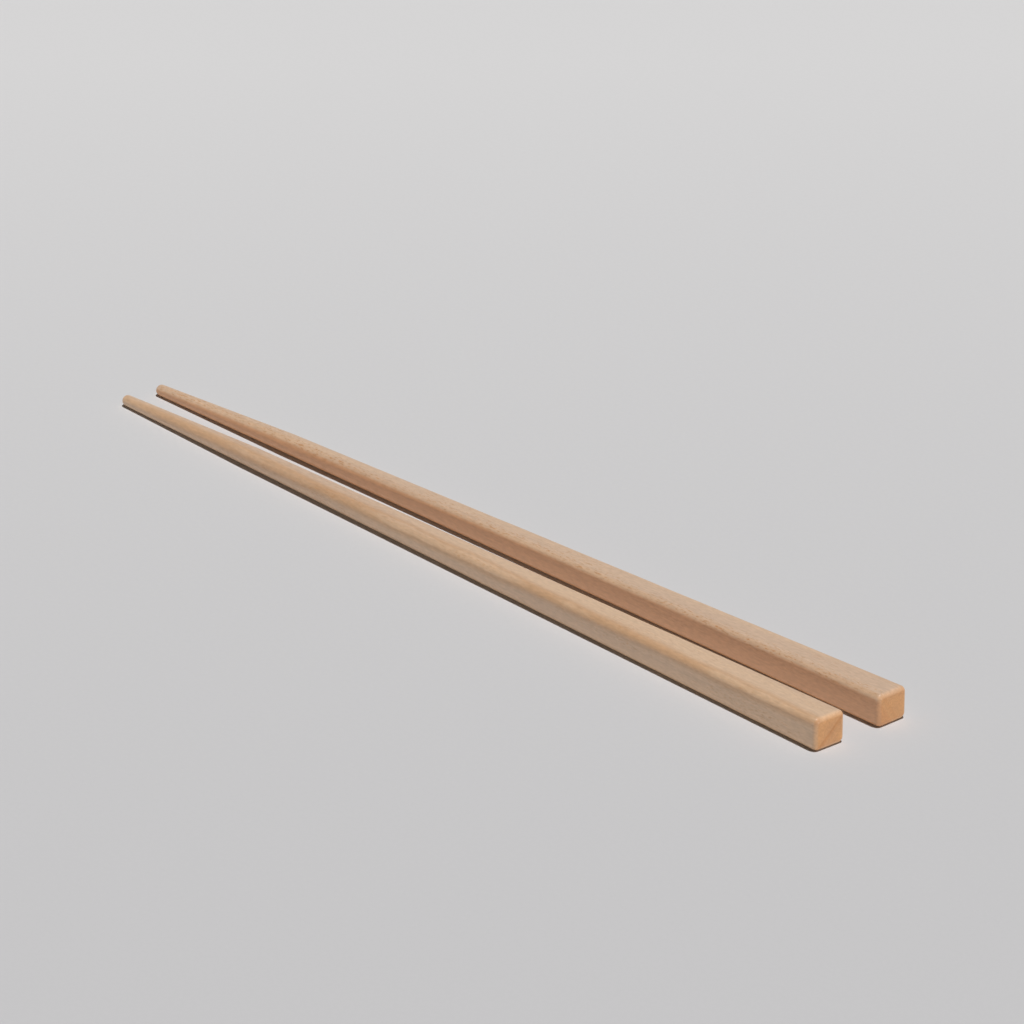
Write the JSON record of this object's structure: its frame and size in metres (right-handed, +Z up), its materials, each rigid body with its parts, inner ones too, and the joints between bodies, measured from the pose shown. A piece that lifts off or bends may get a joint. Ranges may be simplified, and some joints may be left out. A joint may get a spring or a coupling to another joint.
{
  "type": "pair of chopsticks",
  "caption": "Pair of plain wooden chopsticks lying side by side, with soft-edged, nearly square butts, long tapering flats and slim round tips, for picking up food.",
  "frame": {"origin": "middle of the pair's box, on the surface that the sticks rest on", "axes": "+X along the pair towards the thick butts, -X towards the tips, +Y towards the right-hand stick as seen from the butts, +Z up"},
  "size_m": [0.2304, 0.0252, 0.0072],
  "materials": {
    "pale_wood": "smooth sanded pale wood with fine lengthwise grain, satin, unlacquered"
  },
  "bodies": {
    "root": {"left_chopstick": "pale_wood", "right_chopstick": "pale_wood"}
  },
  "joints": []
}
